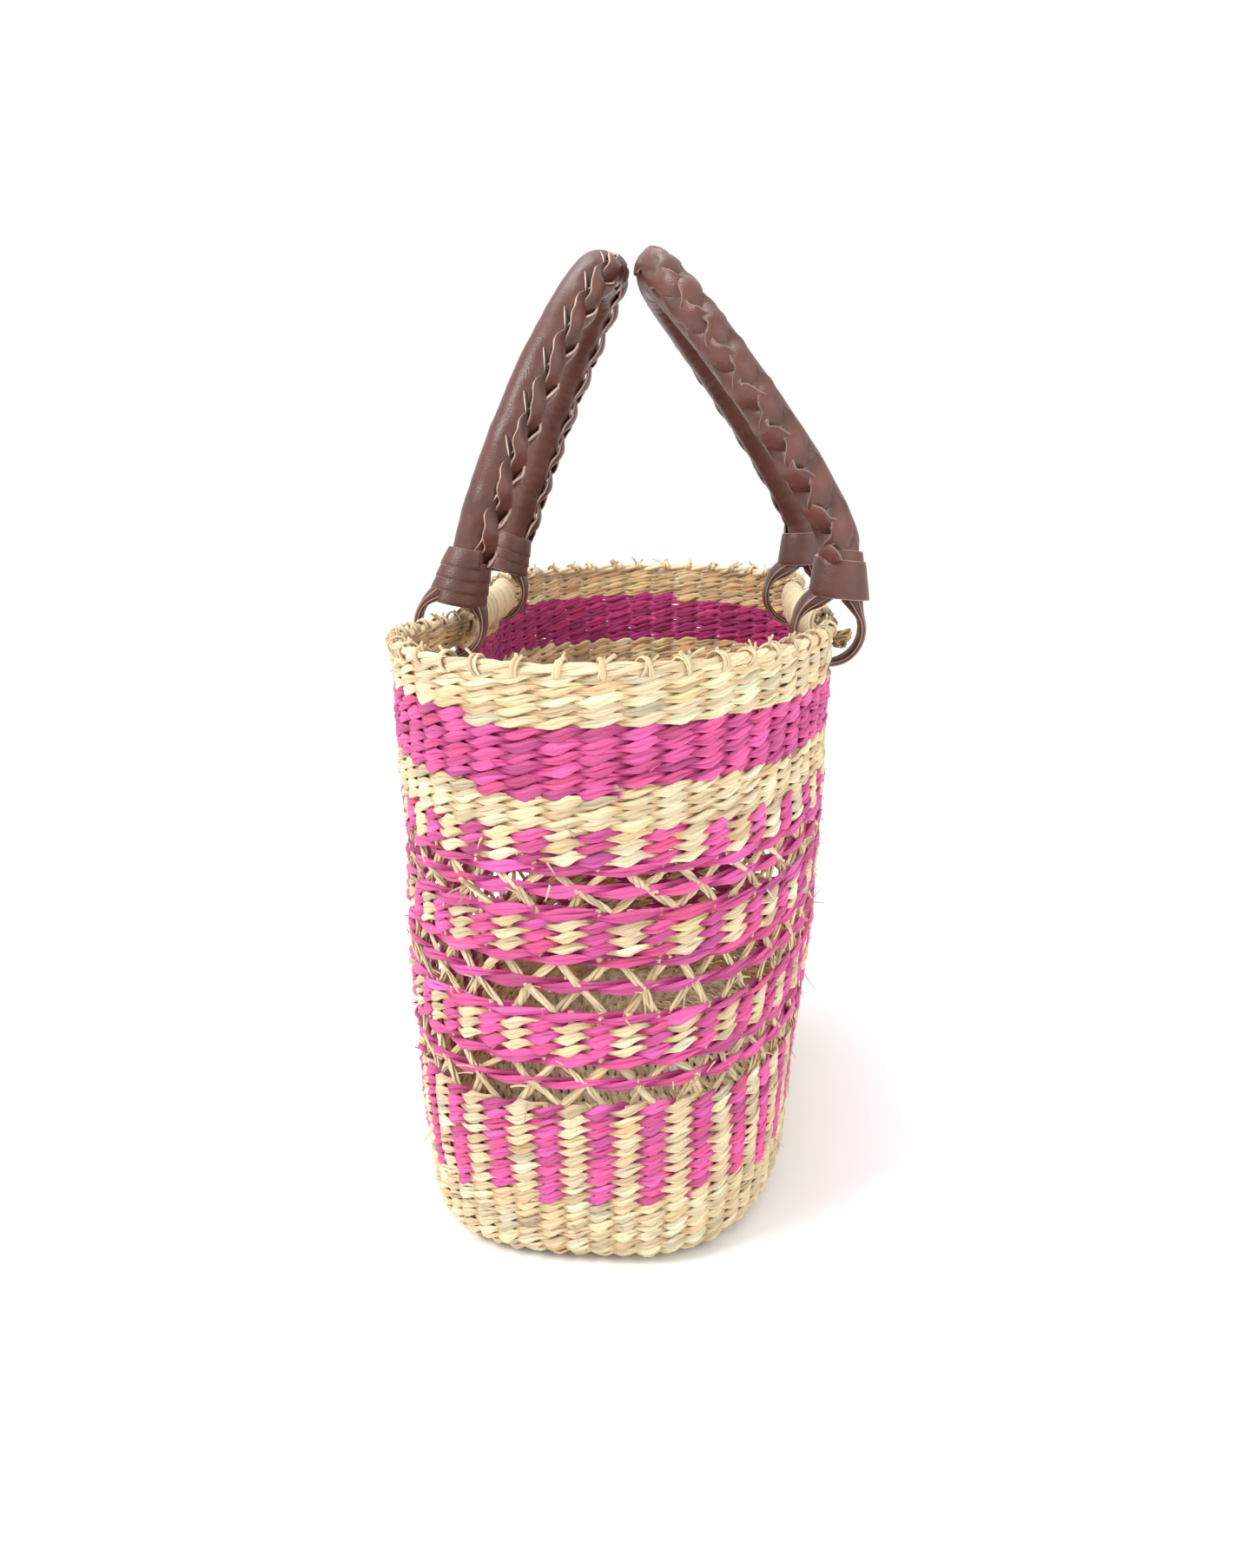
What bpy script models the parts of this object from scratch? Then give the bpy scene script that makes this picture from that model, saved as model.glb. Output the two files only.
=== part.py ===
"""Woven seagrass market basket with two leather-wrapped carrying handles.

Frame: origin at the centre of the base's underside, +Z up, +X along the basket, -Y its front.
The wall is a stack of twined bands round one tapering outline. Each handle swings on the rim.
"""

import math

import bmesh
import bpy
import numpy
from mathutils import Vector

MM = 0.001
GAP = 0.3 * MM  # air left between pieces that meet face to face

# Basket outline: superellipses that grow from the base to the rim
WALL_HEIGHT = 263 * MM
BASE_HALF = (174 * MM, 84.5 * MM)
RIM_HALF = (211 * MM, 110 * MM)
SQUARENESS = (3.2, 2.5, 2.2)  # superellipse exponents at the base, halfway up and at the rim
BELLY = 0.35  # how much the sides bow out on their way up
FRONT, BACK = -1, 1  # the sides at -Y and +Y
PINCH_DEPTH = {FRONT: 40 * MM, BACK: 23.5 * MM}  # how far the handles draw the sides in at the rim
PINCH_REACH = {FRONT: 100 * MM, BACK: 82 * MM}
PINCH_CENTRE = {FRONT: 10 * MM, BACK: -30 * MM}
WALL_THICK = 6 * MM
BASE_THICK = 6 * MM
SEGMENTS = 44  # round the basket

# Band edges above the floor, bottom to top
FOOT_ROUND = 12 * MM  # radius of the turn from base to wall
NATURAL_TOP = 31 * MM
CHECK_TOP = 77 * MM
OPEN_LOW_TOP = 98 * MM
CHECK_LOW_TOP = 120 * MM
OPEN_MID_TOP = 143 * MM
CHECK_HIGH_TOP = 165 * MM
OPEN_HIGH_TOP = 182 * MM
CHECK_UPPER_TOP = 200 * MM
PLAIN_TOP = 217 * MM
PINK_TOP = 240 * MM
RIM_BAND_TOP = 258 * MM

# Openwork: crossed stakes above and below one twined row
CELLS = 30
OPEN_ROW_HEIGHT = 4.5 * MM
STAKE_THICK = 3.5 * MM
STAKE_FEET = ((0.08, 0.24), (0.76, 0.92))  # where each pair leaves the row, in cells
STAKE_TIPS = ((0.31, 0.45), (0.55, 0.69))

# Rim
BORDER_RADIUS = 3.2 * MM
BORDER_SIDES = 5
BINDING_HALF_LENGTH = 55 * MM
BINDING_HALF_WIDTH = 7 * MM
BINDING_TOP = 270 * MM
BINDING_BOTTOM = 251 * MM

TUFT_DEPTH = 5 * MM  # cut grass ends that stand out from the wall beside each strap
TUFT_HALF_LENGTH = 5.5 * MM
TUFT_LOW = 251 * MM
TUFT_HIGH = 260 * MM

# Handles: arches that lean and bend in from the rim until the two meet
PIVOT_X = 72 * MM
PIVOT_Z = 260 * MM
LEAN = {FRONT: math.radians(17), BACK: 0.0}  # of the feet, towards the other handle
FOOT_SHIFT = {FRONT: 0.0, BACK: -4 * MM}  # of the feet, towards the other handle
ARCH_HEIGHT = {FRONT: 171 * MM, BACK: 155.5 * MM}  # pivot to the middle of the grip, along the feet
BEND = {FRONT: 14.5 * MM, BACK: 80 * MM}  # how far the grip stands in from the feet's own plane
BEND_START = 38 * MM
BEND_POWER = {FRONT: 2.0, BACK: 1.2}
TUBE_START = 16 * MM  # pivot to the end of the leather tube
COVER_RADIUS = 10.2 * MM
COVER_THICK = 1.4 * MM
SEAM_HALF_ANGLE = math.radians(38)  # the slit down the cover that the braid closes
CORE_RADIUS = 8 * MM
BRAID_HEIGHT = 2.2 * MM
COLLAR_THICK = 1.6 * MM
COLLAR_LENGTH = 21 * MM
STRAP_RADIUS = 15 * MM  # of its turn round the rim, about the pivot
STRAP_THICK = 1.6 * MM
STRAP_WIDTH = 20 * MM
STRAP_NECK_WIDTH = 12 * MM  # where the collar holds it against the tube
NOTCH_TOP = 250 * MM
NOTCH_WIDTH = 24 * MM
ARCH_STEPS = 28

# Linear RGB colours
NATURAL = (0.71, 0.53, 0.27, 1)
PINK = (0.60, 0.07, 0.36, 1)
CHECK = (0.66, 0.30, 0.32, 1)
LEATHER = (0.085, 0.035, 0.026, 1)
ROPE = (0.50, 0.40, 0.26, 1)


def clear_scene():
    for obj in list(bpy.data.objects):
        bpy.data.objects.remove(obj)


def make_material(name, colour, roughness):
    material = bpy.data.materials.new(name)
    material.use_nodes = True
    shader = material.node_tree.nodes["Principled BSDF"]
    shader.inputs["Base Color"].default_value = colour
    shader.inputs["Roughness"].default_value = roughness
    shader.inputs["Metallic"].default_value = 0.0
    return material


def make_object(name, mesh_maker, material, parent):
    """Turns the bmesh that mesh_maker fills into a named object whose origin is its parent's."""
    bm = bmesh.new()
    mesh_maker(bm)
    bmesh.ops.recalc_face_normals(bm, faces=bm.faces)
    shift = -Vector(parent.location) if parent else Vector()
    bmesh.ops.translate(bm, verts=bm.verts, vec=shift)
    mesh = bpy.data.meshes.new(name)
    bm.to_mesh(mesh)
    bm.free()
    mesh.materials.append(material)
    mesh.shade_smooth()
    mesh.set_sharp_from_angle(angle=math.radians(35))
    obj = bpy.data.objects.new(name, mesh)
    bpy.context.scene.collection.objects.link(obj)
    obj.parent = parent
    return obj


def loft(sections, closed):
    """Returns a mesh maker that skins equal sections, closed into a ring or capped at both ends."""

    def fill(bm):
        rows = [[bm.verts.new(point) for point in section] for section in sections]
        sides = len(rows[0])
        last = len(rows) if closed else len(rows) - 1
        for i in range(last):
            here = rows[i]
            there = rows[(i + 1) % len(rows)]
            for j in range(sides):
                k = (j + 1) % sides
                bm.faces.new((here[j], here[k], there[k], there[j]))
        if not closed:
            bm.faces.new(rows[0])
            bm.faces.new(rows[-1])

    return fill


# ---------------------------------------------------------------- basket outline


def signed_power(value, power):
    return math.copysign(abs(value) ** power, value)


def plan_shape(z):
    """Half length, half width and superellipse power of the basket at a height."""
    k = z / WALL_HEIGHT
    low, middle, top = SQUARENESS
    half_x = BASE_HALF[0] + (RIM_HALF[0] - BASE_HALF[0]) * k
    half_y = BASE_HALF[1] + (RIM_HALF[1] - BASE_HALF[1]) * (k + BELLY * k * (1 - k))
    power = low * (1 - k) * (1 - 2 * k) + middle * 4 * k * (1 - k) + top * k * (2 * k - 1)
    return half_x, half_y, power


def unit_edge(bearing, power):
    """The edge of a unit superellipse in a direction."""
    x, y = math.cos(bearing), math.sin(bearing)
    reach = (abs(x) ** power + abs(y) ** power) ** (-1 / power)
    return x * reach, y * reach


def bearing_table():
    """Bearings against the share of the perimeter they have passed, halfway up the wall."""
    half_x, half_y, power = plan_shape(WALL_HEIGHT / 2)
    bearings = numpy.linspace(0, 2 * math.pi, 1441)
    edges = numpy.array([unit_edge(bearing, power) for bearing in bearings])
    steps = numpy.hypot(*(numpy.diff(edges, axis=0) * (half_x, half_y)).T)
    passed = numpy.concatenate(([0.0], numpy.cumsum(steps)))
    return passed / passed[-1], bearings


PERIMETER_SHARES, BEARINGS = bearing_table()


def outline(turn, z, inset=0.0):
    """The wall's outer surface, by the share of the perimeter passed from +X and the height."""
    half_x, half_y, power = plan_shape(z)
    x, y = unit_edge(numpy.interp(turn % 1, PERIMETER_SHARES, BEARINGS), power)
    x *= half_x - inset
    y *= half_y - inset
    side = FRONT if y < 0 else BACK
    pinch = PINCH_DEPTH[side] * (z / WALL_HEIGHT) ** 3 * math.exp(-(abs((x - PINCH_CENTRE[side]) / PINCH_REACH[side]) ** 3))
    y -= side * pinch * min(1.0, abs(y) / (0.6 * half_y))
    return Vector((x, y, z))


def foot_inset(z):
    """How far the wall draws in near the floor, as a quarter round."""
    if z >= FOOT_ROUND:
        return 0.0
    return FOOT_ROUND - math.sqrt(FOOT_ROUND**2 - (FOOT_ROUND - z) ** 2)


def wall_point(turn, z, depth):
    """A point of the wall: depth 0 is its outer face, WALL_THICK its inner face."""
    return outline(turn, z, foot_inset(z) + depth)


def rim_centre(turn, z):
    return wall_point(turn, z, WALL_THICK / 2)


def turn_at_x(side, x, z):
    """The turn on the front or back wall whose middle lies at x."""
    low, high = 0.0, 0.5
    for _ in range(40):
        middle = (low + high) / 2
        if rim_centre(side * middle, z).x > x:
            low = middle
        else:
            high = middle
    return side * (low + high) / 2


def turns():
    return [i / SEGMENTS for i in range(SEGMENTS)]


# ---------------------------------------------------------------- woven body


def band(heights):
    """A closed ring of wall through these heights."""
    sections = []
    for turn in turns():
        outer = [wall_point(turn, z, 0) for z in heights]
        inner = [wall_point(turn, z, WALL_THICK) for z in reversed(heights)]
        sections.append(outer + inner)
    return loft(sections, closed=True)


def plain_band(low, high):
    return band([low + GAP / 2, high - GAP / 2])


def rim_band():
    """The top band, with its lower edge raised into a notch wherever a strap passes under it."""
    low = PINK_TOP + GAP / 2
    lows = {turn: low for turn in turns()}
    half = NOTCH_WIDTH / 2
    for side in (FRONT, BACK):
        for end in (-1, 1):
            before, after = sorted(
                turn_at_x(side, end * PIVOT_X + offset, NOTCH_TOP) % 1 for offset in (-half, half)
            )
            sliver = (after - before) * 0.02
            lows = {turn: z for turn, z in lows.items() if not before - sliver <= turn <= after + sliver}
            lows[before - sliver] = lows[after + sliver] = low
            lows[before] = lows[(before + after) / 2] = lows[after] = NOTCH_TOP
    sections = []
    for turn in sorted(lows):
        heights = (lows[turn], RIM_BAND_TOP - GAP / 2)
        outer = [wall_point(turn, z, 0) for z in heights]
        inner = [wall_point(turn, z, WALL_THICK) for z in reversed(heights)]
        sections.append(outer + inner)
    return loft(sections, closed=True)


def foot_band():
    """The lowest band, with the rounded turn at the floor."""
    steps = 4
    heights = [FOOT_ROUND * (1 - math.cos(math.pi / 2 * i / steps)) for i in range(steps + 1)]
    heights.append(NATURAL_TOP - GAP / 2)
    sections = []
    for turn in turns():
        outer = [wall_point(turn, z, 0) for z in heights]
        inner_low = outline(turn, 0, FOOT_ROUND + WALL_THICK)
        inner_mid = outline(turn, FOOT_ROUND, WALL_THICK)
        inner_top = outline(turn, heights[-1], WALL_THICK)
        sections.append(outer + [inner_top, inner_mid, inner_low])
    return loft(sections, closed=True)


def base_mat():
    """The oval floor, flush with the foot band's underside."""

    def fill(bm):
        rings = []
        for z in (0.0, BASE_THICK):
            grow = 1.5 * z  # follows the slope of the foot band's inner face
            points = [outline(turn, 0, FOOT_ROUND + WALL_THICK + GAP - grow * 0.2) for turn in turns()]
            rings.append([bm.verts.new((p.x, p.y, z)) for p in points])
        bm.faces.new(reversed(rings[0]))
        bm.faces.new(rings[1])
        for i in range(SEGMENTS):
            j = (i + 1) % SEGMENTS
            bm.faces.new((rings[0][i], rings[0][j], rings[1][j], rings[1][i]))

    return fill


def openwork(low, high):
    """One twined row with pairs of slanting stakes above and below it, open between them."""
    row_low = (low + high - OPEN_ROW_HEIGHT) / 2
    row_high = row_low + OPEN_ROW_HEIGHT
    inset = (WALL_THICK - STAKE_THICK) / 2
    depths = (inset, inset + STAKE_THICK)
    feet = [share for pair in STAKE_FEET for share in pair]
    tips = [share for pair in STAKE_TIPS for share in pair]

    def fill(bm):
        def column(cell, share, z):
            turn = (cell + share) / CELLS
            return [bm.verts.new(wall_point(turn, z, depth)) for depth in depths]

        def quad(a, b, c, d):
            bm.faces.new((a, b, c, d))

        lows = [column(cell, share, row_low) for cell in range(CELLS) for share in feet]
        highs = [column(cell, share, row_high) for cell in range(CELLS) for share in feet]
        count = len(lows)
        for i in range(count):
            j = (i + 1) % count
            quad(lows[i][0], lows[j][0], highs[j][0], highs[i][0])
            quad(lows[j][1], lows[i][1], highs[i][1], highs[j][1])
            cell, place = divmod(i, 4)
            for edge, end_z, flip in ((highs, high - GAP / 2, False), (lows, low + GAP / 2, True)):
                if place % 2:  # between two stakes, the row's own edge
                    quad(edge[i][0], edge[j][0], edge[j][1], edge[i][1])
                    continue
                tip_a = column(cell, tips[place], end_z)
                tip_b = column(cell, tips[place + 1], end_z)
                quad(edge[i][0], edge[j][0], tip_b[0], tip_a[0])
                quad(edge[j][1], edge[i][1], tip_a[1], tip_b[1])
                quad(edge[i][1], edge[i][0], tip_a[0], tip_a[1])
                quad(edge[j][0], edge[j][1], tip_b[1], tip_b[0])
                quad(tip_a[0], tip_b[0], tip_b[1], tip_a[1])

    return fill


def border():
    """The round strand that the stake ends are knotted over, along the top of the wall."""
    z = RIM_BAND_TOP + GAP + BORDER_RADIUS
    sections = []
    for turn in turns():
        centre = rim_centre(turn, RIM_BAND_TOP)
        outward = (outline(turn, RIM_BAND_TOP) - centre).normalized()
        section = []
        for side in range(BORDER_SIDES):
            angle = 2 * math.pi * (side + 0.5) / BORDER_SIDES - math.pi / 2
            across = outward * (BORDER_RADIUS * math.cos(angle))
            section.append(Vector((centre.x, centre.y, z + BORDER_RADIUS * math.sin(angle))) + across)
        sections.append(section)
    return loft(sections, closed=True)


def binding(side):
    """The grass whipping over the rim between a handle's feet, an upside-down channel."""
    steps = 10
    inner = WALL_THICK / 2 + 5 * GAP
    outer = BINDING_HALF_WIDTH
    border_top = RIM_BAND_TOP + GAP + 2 * BORDER_RADIUS
    shoulder = (border_top + BINDING_TOP) / 2
    profile = (
        (-outer, BINDING_BOTTOM),
        (-outer, border_top - 2 * MM),
        (-outer * 0.6, shoulder),
        (0.0, BINDING_TOP),
        (outer * 0.6, shoulder),
        (outer, border_top - 2 * MM),
        (outer, BINDING_BOTTOM),
        (inner, BINDING_BOTTOM),
        (inner, border_top + GAP),
        (-inner, border_top + GAP),
        (-inner, BINDING_BOTTOM),
    )
    sections = []
    for step in range(steps + 1):
        x = BINDING_HALF_LENGTH * (1 - 2 * step / steps)
        section = []
        for across, z in profile:
            level = min(z, RIM_BAND_TOP)
            centre = rim_centre(turn_at_x(side, x, level), level)
            section.append((x, centre.y + side * across, z))
        sections.append(section)
    return loft(sections, closed=False)


def tuft(side, end):
    """The cut ends of the whipping grass, outside the wall and inside the strap's turn."""
    sections = []
    for x_share, swell in ((-1, 0.35), (-0.6, 0.85), (0, 1), (0.6, 0.85), (1, 0.35)):
        x = PIVOT_X + x_share * TUFT_HALF_LENGTH
        middle = (TUFT_LOW + TUFT_HIGH) / 2
        half_height = (TUFT_HIGH - TUFT_LOW) / 2 * swell
        section = []
        for depth, level in ((0, -1), (0.7, -0.9), (1, -0.2), (0.9, 0.5), (0.4, 1), (0, 1)):
            z = middle + half_height * level
            out = WALL_THICK / 2 + GAP + TUFT_DEPTH * depth * swell
            section.append((end * x, rim_centre(turn_at_x(side, end * x, z), z).y + side * out, z))
        sections.append(section)
    return loft(sections, closed=False)


# ---------------------------------------------------------------- handles


class HandleFrame:
    """Maps a handle's own axes (along X, up its feet, towards the other handle) into the basket's."""

    def __init__(self, side):
        self.side = side
        self.shift = FOOT_SHIFT[side]
        right, left = (rim_centre(turn_at_x(side, x, RIM_BAND_TOP), RIM_BAND_TOP) for x in (PIVOT_X, -PIVOT_X))
        self.origin = Vector((0, (right.y + left.y) / 2, PIVOT_Z))
        self.axis = (right - left).normalized()
        level = Vector((side * self.axis.y, -side * self.axis.x, 0))
        lean = LEAN[side]
        self.up = level * math.sin(lean) + Vector((0, 0, math.cos(lean)))
        self.inward = level * math.cos(lean) - Vector((0, 0, math.sin(lean)))

    def place(self, x, up, inward):
        return self.origin + self.axis * x + self.up * up + self.inward * inward


def arch_points(side):
    """The handle's centreline in its own axes, in equal steps from the right foot to the left foot."""
    fine = numpy.linspace(0, math.pi, 721)
    height = ARCH_HEIGHT[side]
    x = PIVOT_X * numpy.sign(numpy.cos(fine)) * numpy.abs(numpy.cos(fine)) ** 0.75
    up = TUBE_START + (height - TUBE_START) * numpy.abs(numpy.sin(fine)) ** 0.8
    bend = BEND[side] * numpy.clip((up - BEND_START) / (height - BEND_START), 0, 1) ** BEND_POWER[side]
    path = numpy.stack([x, up, FOOT_SHIFT[side] + bend], axis=1)
    passed = numpy.concatenate(([0.0], numpy.cumsum(numpy.linalg.norm(numpy.diff(path, axis=0), axis=1))))
    steps = numpy.linspace(0, passed[-1], ARCH_STEPS + 1)
    return [Vector([numpy.interp(step, passed, path[:, axis]) for axis in range(3)]) for step in steps]


def arch_sections(frame, profile):
    """Carries a profile of (away from the arch's middle, towards the other handle) along the arch."""
    points = arch_points(frame.side)
    sections = []
    for i, point in enumerate(points):
        along = points[min(i + 1, len(points) - 1)] - points[max(i - 1, 0)]
        if i in (0, len(points) - 1):
            along = Vector((0, 1 if i == 0 else -1, 0))
        along.normalize()
        face = (Vector((0, 0, 1)) - along * along.z).normalized()
        out = along.cross(face)
        sections.append([frame.place(*(point + out * a + face * b)) for a, b in profile])
    return sections


def ring_profile(radius, start, end, steps):
    """Points at equal angles, counted from the inward direction."""
    angles = [start + (end - start) * i / steps for i in range(steps + 1)]
    return [(radius * math.sin(angle), radius * math.cos(angle)) for angle in angles]


def handle_cover(frame):
    """The leather sheet wrapped round the core, open along the seam that faces the other handle."""
    steps = 8
    start = SEAM_HALF_ANGLE
    end = 2 * math.pi - SEAM_HALF_ANGLE
    outer = ring_profile(COVER_RADIUS, start, end, steps)
    inner = ring_profile(COVER_RADIUS - COVER_THICK, start, end, steps)
    return loft(arch_sections(frame, outer + inner[::-1]), closed=False)


def handle_core(frame):
    """The rope that fills the leather tube."""
    profile = ring_profile(CORE_RADIUS, 0, 2 * math.pi, 7)[:-1]
    return loft(arch_sections(frame, profile), closed=False)


def handle_braid(frame):
    """The laced seam that fills the slit and stands a little proud."""
    half = SEAM_HALF_ANGLE - 2 * GAP / COVER_RADIUS
    outer = ring_profile(COVER_RADIUS + BRAID_HEIGHT, -half, half, 3)
    inner = ring_profile(CORE_RADIUS + 2 * GAP, -half, half, 3)
    sections = arch_sections(frame, outer + inner[::-1])
    return loft(sections[2:-2], closed=False)


def handle_collar(frame, end):
    """The leather band wound round the foot of the tube and the strap's two legs."""
    steps = 14
    inner = math.hypot(strap_leg() + STRAP_THICK / 2, STRAP_NECK_WIDTH / 2) + 2 * GAP
    outer = inner + COLLAR_THICK
    sections = []
    for step in range(steps):
        angle = 2 * math.pi * step / steps
        section = []
        for radius, up in (
            (inner, TUBE_START),
            (outer, TUBE_START),
            (outer, TUBE_START + COLLAR_LENGTH),
            (inner, TUBE_START + COLLAR_LENGTH),
        ):
            x = end * PIVOT_X + radius * math.sin(angle)
            section.append(frame.place(x, up, frame.shift + radius * math.cos(angle)))
        sections.append(section)
    return loft(sections, closed=True)


def strap_leg():
    """Distance from the tube's centreline to each leg of the strap, under the collar."""
    return COVER_RADIUS + GAP + STRAP_THICK / 2


def strap_path(shift):
    """The strap's middle in its own plane, as (towards the other handle, up the feet, half width)."""
    steps = 12
    neck = STRAP_NECK_WIDTH / 2
    foot = TUBE_START - MM
    touches = []
    for leg in (shift + strap_leg(), shift - strap_leg()):
        bearing = math.atan2(leg, foot)
        tangent = math.acos(STRAP_RADIUS / math.hypot(leg, foot))
        touches.append(bearing + math.copysign(tangent, leg - shift))
    start, end = touches[0], touches[1] + 2 * math.pi
    path = [(shift + strap_leg(), TUBE_START + COLLAR_LENGTH, neck), (shift + strap_leg(), foot, neck)]
    for step in range(steps + 1):
        angle = start + (end - start) * step / steps
        path.append((STRAP_RADIUS * math.sin(angle), STRAP_RADIUS * math.cos(angle), STRAP_WIDTH / 2))
    return path + [(shift - strap_leg(), foot, neck), (shift - strap_leg(), TUBE_START + COLLAR_LENGTH, neck)]


def handle_strap(frame, end):
    """The strap that goes down outside the rim, through the wall and up inside it."""
    path = strap_path(frame.shift)
    sections = []
    for i, (inward, up, half_width) in enumerate(path):
        ahead = Vector(path[min(i + 1, len(path) - 1)][:2])
        behind = Vector(path[max(i - 1, 0)][:2])
        along = (ahead - behind).normalized()
        across = Vector((along.y, -along.x)) * (STRAP_THICK / 2)
        section = []
        for face, edge in ((-1, -1), (1, -1), (1, 1), (-1, 1)):
            x = end * PIVOT_X + edge * half_width
            section.append(frame.place(x, up + face * across.y, inward + face * across.x))
        sections.append(section)
    return loft(sections, closed=False)


def build_basket(materials):
    natural, pink, check = materials["natural"], materials["pink"], materials["check"]
    bands = (
        ("lower_check_band", plain_band(NATURAL_TOP, CHECK_TOP), check),
        ("low_openwork", openwork(CHECK_TOP, OPEN_LOW_TOP), natural),
        ("low_check_band", plain_band(OPEN_LOW_TOP, CHECK_LOW_TOP), check),
        ("middle_openwork", openwork(CHECK_LOW_TOP, OPEN_MID_TOP), natural),
        ("high_check_band", plain_band(OPEN_MID_TOP, CHECK_HIGH_TOP), check),
        ("high_openwork", openwork(CHECK_HIGH_TOP, OPEN_HIGH_TOP), natural),
        ("upper_check_band", plain_band(OPEN_HIGH_TOP, CHECK_UPPER_TOP), check),
        ("upper_natural_band", plain_band(CHECK_UPPER_TOP, PLAIN_TOP), natural),
        ("pink_band", plain_band(PLAIN_TOP, PINK_TOP), pink),
        ("rim_border", border(), natural),
    )
    make_object("base_mat", base_mat(), natural, None)
    make_object("foot_band", foot_band(), natural, None)
    for name, maker, material in bands:
        make_object(name, maker, material, None)
    make_object("rim_band", rim_band(), natural, None)
    for front, side in (("front", FRONT), ("back", BACK)):
        make_object(f"{front}_rim_binding", binding(side), natural, None)
        for place, end in (("right", 1), ("left", -1)):
            make_object(f"{front}_{place}_tuft", tuft(side, end), natural, None)


def build_handle(name, side, materials):
    leather = materials["leather"]
    frame = HandleFrame(side)
    hinge = bpy.data.objects.new(f"{name}_hinge", None)
    bpy.context.scene.collection.objects.link(hinge)
    hinge.location = frame.origin
    make_object(f"{name}_cover", handle_cover(frame), leather, hinge)
    make_object(f"{name}_core", handle_core(frame), materials["rope"], hinge)
    make_object(f"{name}_braid", handle_braid(frame), leather, hinge)
    for place, end in (("right", 1), ("left", -1)):
        make_object(f"{name}_{place}_collar", handle_collar(frame, end), leather, hinge)
        make_object(f"{name}_{place}_strap", handle_strap(frame, end), leather, hinge)


def main():
    clear_scene()
    materials = {
        "natural": make_material("natural_seagrass", NATURAL, 0.75),
        "pink": make_material("pink_seagrass", PINK, 0.6),
        "check": make_material("checked_seagrass", CHECK, 0.7),
        "leather": make_material("brown_leather", LEATHER, 0.45),
        "rope": make_material("core_rope", ROPE, 0.9),
    }
    build_basket(materials)
    build_handle("front_handle", FRONT, materials)
    build_handle("back_handle", BACK, materials)


main()
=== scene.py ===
"""Looks of the woven seagrass market basket: twined strands, openwork, rim, and laced leather handles."""

import math

import bpy
import numpy as np
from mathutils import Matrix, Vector


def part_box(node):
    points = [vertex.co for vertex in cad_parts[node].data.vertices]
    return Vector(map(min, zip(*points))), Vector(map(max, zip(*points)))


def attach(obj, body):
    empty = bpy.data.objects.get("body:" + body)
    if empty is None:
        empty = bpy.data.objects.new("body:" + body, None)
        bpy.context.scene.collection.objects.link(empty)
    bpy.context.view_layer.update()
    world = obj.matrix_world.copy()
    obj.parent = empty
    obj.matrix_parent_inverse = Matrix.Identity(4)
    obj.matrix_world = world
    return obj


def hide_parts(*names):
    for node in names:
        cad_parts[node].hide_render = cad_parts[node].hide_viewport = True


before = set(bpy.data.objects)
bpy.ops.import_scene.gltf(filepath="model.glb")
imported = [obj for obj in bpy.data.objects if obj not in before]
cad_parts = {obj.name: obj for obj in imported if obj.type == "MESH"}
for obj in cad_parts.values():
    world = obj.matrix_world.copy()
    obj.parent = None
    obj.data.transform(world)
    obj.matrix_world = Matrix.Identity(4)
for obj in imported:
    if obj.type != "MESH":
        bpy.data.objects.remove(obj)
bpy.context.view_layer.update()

MM = 0.001
UP = np.array([0.0, 0.0, 1.0])
rng = np.random.default_rng(20)

# Basket outline, the same as the CAD's
WALL_HEIGHT = 263 * MM
BASE_HALF = (174 * MM, 84.5 * MM)
RIM_HALF = (211 * MM, 110 * MM)
SQUARENESS = (3.2, 2.5, 2.2)
BELLY = 0.35
FRONT, BACK = -1, 1
PINCH_DEPTH = {FRONT: 40 * MM, BACK: 23.5 * MM}
PINCH_REACH = {FRONT: 100 * MM, BACK: 82 * MM}
PINCH_CENTRE = {FRONT: 10 * MM, BACK: -30 * MM}
WALL_THICK = 6 * MM
FOOT_ROUND = 12 * MM

# Weave
STAKES = 80
NATURAL_STAKES = 74
PINK_STAKES = 70
RIM_STAKES = 66
NATURAL, DYED = (False, False), (True, True)  # whether each of a row's two strands is pink
STITCH_STEPS = 6
PLY_SIDES = 6
ROW_DEPTH = 1.35 * MM  # how far a strand swings out of and into the wall
ROW_SWING = 1.3 * MM  # and up and down
STRAND_HALF_HEIGHT = 2.6 * MM
STRAND_HALF_THICK = 0.95 * MM
MIDDLE = WALL_THICK / 2
UPRIGHT = math.pi / 2
WALL_LIE = 1.2  # a row that lies steeper than this is on the wall, not on the base
ROD_HEIGHT = 261.5 * MM
BASE_ROWS = 17
BASE_OUTER_ROWS = 8
BASE_PITCH = 4.28 * MM
BASE_HEIGHT = 3 * MM
WARMTH = np.array([0.4, -0.4, -1.3])  # how a warmer strand differs in red, green and blue
OPENWORKS = (
    ("low_openwork", 77.5, 88.5, 97.5),
    ("middle_openwork", 120.5, 132.5, 143.0),
    ("high_openwork", 165.5, 174.5, 182.0),
)

# Slots in the wall for the handles' straps
SLOT_HALF = 12.5 * MM
SLOT_EASE = 9 * MM
SLOT_REGION = 235 * MM  # rows above this height part round a slot
SLOT_MIDDLE = 243.5 * MM
SLOT_LIFT = 4.3 * MM  # of a row just above a slot, none at the rim
SLOT_DROP = 2.2 * MM
STRAY_CLEAR = 15 * MM  # loose ends keep this far from a strap's middle
TUFT_REACH = 9.3 * MM  # from the handle's axis, inside the strap

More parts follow.
